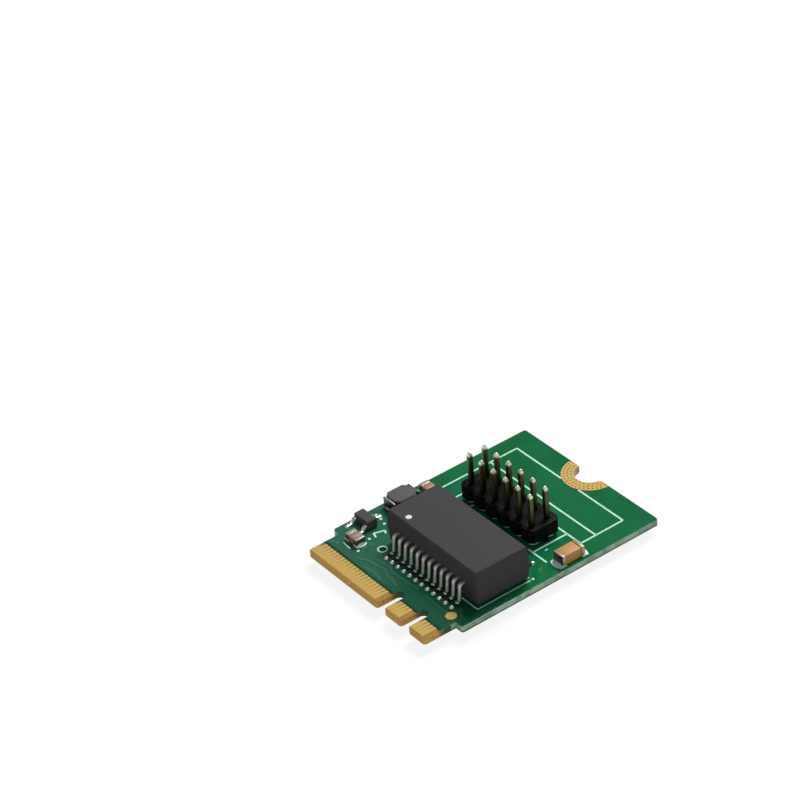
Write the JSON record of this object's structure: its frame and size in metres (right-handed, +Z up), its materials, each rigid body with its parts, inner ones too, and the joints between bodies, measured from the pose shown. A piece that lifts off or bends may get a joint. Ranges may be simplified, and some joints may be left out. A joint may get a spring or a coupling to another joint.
{
  "type": "ethernet adapter card",
  "caption": "Network adapter card for a keyed card slot: gold edge contacts, line transformer, cable pin header, half-round screw notch, and a controller chip on its underside.",
  "frame": {"origin": "middle of the card's outline, on the plane that its underside rests on", "axes": "+X from the contact edge to the screw end, +Y across the card to the side with the regulator, +Z up out of the component side"},
  "size_m": [0.03, 0.022, 0.0078],
  "materials": {
    "board_laminate": "green solder mask over woven glass laminate",
    "gold_plating": "smooth gold plating on copper",
    "screw_pad_gold": "gold plating with rows of small stitched vias",
    "transformer_moulding": "fine-grained dark grey moulding compound",
    "tinned_leads": "dull tin plating",
    "solder": "bright solder",
    "header_plastic": "black glass-filled plastic",
    "pin_plating": "thin gold plating",
    "tan_ceramic": "tan capacitor ceramic",
    "brown_ceramic": "brown capacitor ceramic",
    "end_caps": "matt tin",
    "regulator_moulding": "dark grey moulding compound",
    "bright_leads": "bright tin plating",
    "inductor_moulding": "pressed iron powder with a grey coat",
    "controller_moulding": "black moulding compound",
    "white_ceramic": "pale fired ceramic",
    "crystal_lid_metal": "plated lid",
    "resistor_glaze": "black glass glaze"
  },
  "bodies": {
    "root": {"circuit_board": "board_laminate", "edge_contacts_top": "gold_plating", "edge_contacts_bottom": "gold_plating", "screw_pad": "screw_pad_gold", "test_pad": "gold_plating", "transformer_body": "transformer_moulding", "transformer_leads": "tinned_leads", "transformer_solder": "solder", "header_body": "header_plastic", "header_pins": "pin_plating", "header_solder_top": "solder", "header_solder_bottom": "solder", "isolation_capacitor_body": "tan_ceramic", "isolation_capacitor_caps": "end_caps", "isolation_capacitor_solder": "solder", "supply_capacitor_bodies": "brown_ceramic", "supply_capacitor_caps": "end_caps", "supply_capacitor_solder": "solder", "regulator_body": "regulator_moulding", "regulator_leads": "bright_leads", "regulator_solder": "solder", "inductor_body": "inductor_moulding", "inductor_strips": "bright_leads", "inductor_solder": "solder", "controller_body": "controller_moulding", "controller_pads": "solder", "crystal_base": "white_ceramic", "crystal_lid": "crystal_lid_metal", "crystal_pads": "solder", "small_capacitor_bodies": "brown_ceramic", "small_capacitor_caps": "end_caps", "small_resistor_bodies": "resistor_glaze", "small_resistor_caps": "end_caps", "small_chip_solder": "solder"}
  },
  "joints": []
}
